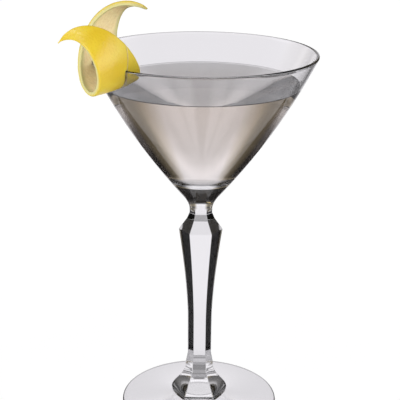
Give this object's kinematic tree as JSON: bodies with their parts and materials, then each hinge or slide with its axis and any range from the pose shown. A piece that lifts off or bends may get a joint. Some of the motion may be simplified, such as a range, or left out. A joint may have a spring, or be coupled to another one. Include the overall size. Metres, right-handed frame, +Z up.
{
  "type": "martini cocktail",
  "caption": "Cocktail in a stemmed glass with a cone bowl, a faceted stem and a round foot, with a curl of lemon peel slit onto the rim.",
  "frame": {"origin": "centre of the foot's flat underside", "axes": "+Z up along the stem, +Y away from the viewer, +X to the viewer's right"},
  "size_m": [0.1151, 0.1087, 0.2059],
  "materials": {
    "clear_glass": "clear, fire polished",
    "pale_drink": "clear liquid with a pale straw tint",
    "lemon_peel": "waxy fruit skin with pores, white pith inside"
  },
  "bodies": {
    "root": {"glass": "clear_glass", "drink": "pale_drink", "lemon_peel": "lemon_peel"}
  },
  "joints": []
}
